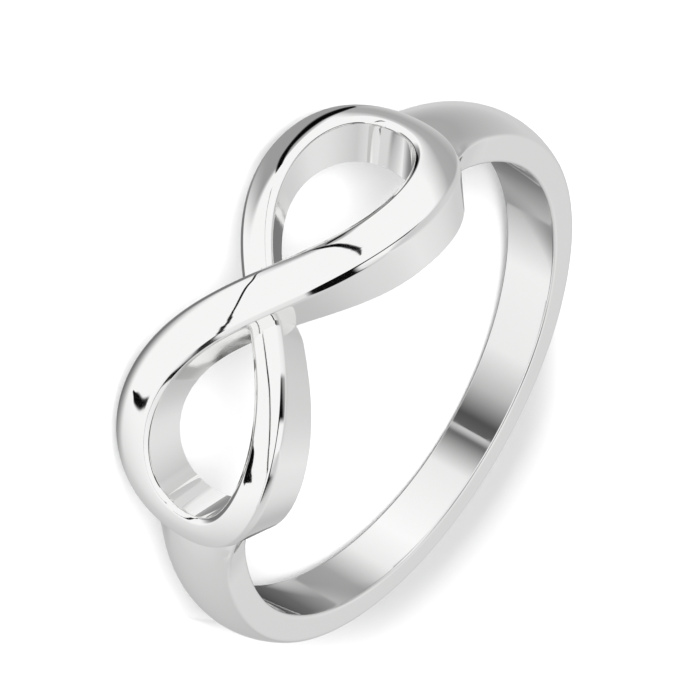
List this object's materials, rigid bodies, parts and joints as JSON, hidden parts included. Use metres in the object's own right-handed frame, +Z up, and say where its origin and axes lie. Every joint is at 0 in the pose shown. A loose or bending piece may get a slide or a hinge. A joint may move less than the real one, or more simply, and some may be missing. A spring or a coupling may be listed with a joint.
{
  "type": "infinity ring",
  "caption": "Polished finger ring with an open infinity sign whose strands cross one over the other, on a slim domed shank that tapers to the back.",
  "frame": {"origin": "on the floor, under the middle of the lying ring's box", "axes": "+Z up; the ring lies on its side with the head towards -Y and the back of the shank towards +Y; the finger hole's axis leans 9.14 degrees from +Z towards +Y"},
  "size_m": [0.0192, 0.0194, 0.007],
  "materials": {
    "polished_silver": "mirror polished silver"
  },
  "bodies": {
    "root": {"infinity_ring": "polished_silver"}
  },
  "joints": []
}
